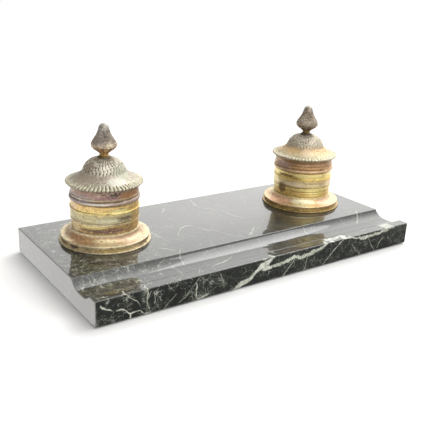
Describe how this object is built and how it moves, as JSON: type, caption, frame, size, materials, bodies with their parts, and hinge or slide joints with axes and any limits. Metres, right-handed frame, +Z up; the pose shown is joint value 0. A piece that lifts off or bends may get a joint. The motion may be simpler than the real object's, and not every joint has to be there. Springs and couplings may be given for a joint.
{
  "type": "desk inkstand",
  "caption": "Desk inkstand: veined marble slab with a full-length pen groove, and domed brass inkwells with lift-off finial lids and lift-out porcelain liners.",
  "frame": {"origin": "middle of the slab's underside, on the desk", "axes": "+X along the slab, +Y to the back edge, +Z up; the pen groove is along the front edge, at -Y"},
  "size_m": [0.3, 0.144, 0.1113],
  "materials": {
    "marble": "polished, dark green with pale veins",
    "baize": "felted wool",
    "gilt_foot": "gilt, rosy where the gilding is thin",
    "gilt_barrel": "gilt with brown tarnish",
    "bronzed_collar": "brown patina",
    "worn_lid": "grey-green patina, worn on the ribs",
    "worn_finial": "brown patina, worn on the ridges",
    "bare_brass": "dull",
    "steel": "dull, slightly rusty",
    "porcelain": "glazed"
  },
  "bodies": {
    "stand": {"marble_slab": "marble", "baize_lining": "baize", "left_foot_ring": "gilt_foot", "left_floor_plate": "bare_brass", "left_fixing_bolt": "steel", "left_fixing_washer": "steel", "left_fixing_nut": "steel", "left_barrel": "gilt_barrel", "left_collar": "bronzed_collar", "right_foot_ring": "gilt_foot", "right_floor_plate": "bare_brass", "right_fixing_bolt": "steel", "right_fixing_washer": "steel", "right_fixing_nut": "steel", "right_barrel": "gilt_barrel", "right_collar": "bronzed_collar"},
    "left_liner_body": {"left_liner": "porcelain"},
    "left_lid_body": {"left_lid": "worn_lid", "left_lid_ring": "bare_brass", "left_finial": "worn_finial", "left_finial_nut": "bare_brass"},
    "right_liner_body": {"right_liner": "porcelain"},
    "right_lid_body": {"right_lid": "worn_lid", "right_lid_ring": "bare_brass", "right_finial": "worn_finial", "right_finial_nut": "bare_brass"}
  },
  "joints": [
    {"name": "left_liner_lift", "type": "slide", "parent": "stand", "child": "left_liner_body", "axis": [0, 0, 1], "range_m": [0, 0.06]},
    {"name": "left_lid_lift", "type": "slide", "parent": "left_liner_body", "child": "left_lid_body", "axis": [0, 0, 1], "range_m": [0, 0.06]},
    {"name": "right_liner_lift", "type": "slide", "parent": "stand", "child": "right_liner_body", "axis": [0, 0, 1], "range_m": [0, 0.06]},
    {"name": "right_lid_lift", "type": "slide", "parent": "right_liner_body", "child": "right_lid_body", "axis": [0, 0, 1], "range_m": [0, 0.06]}
  ]
}
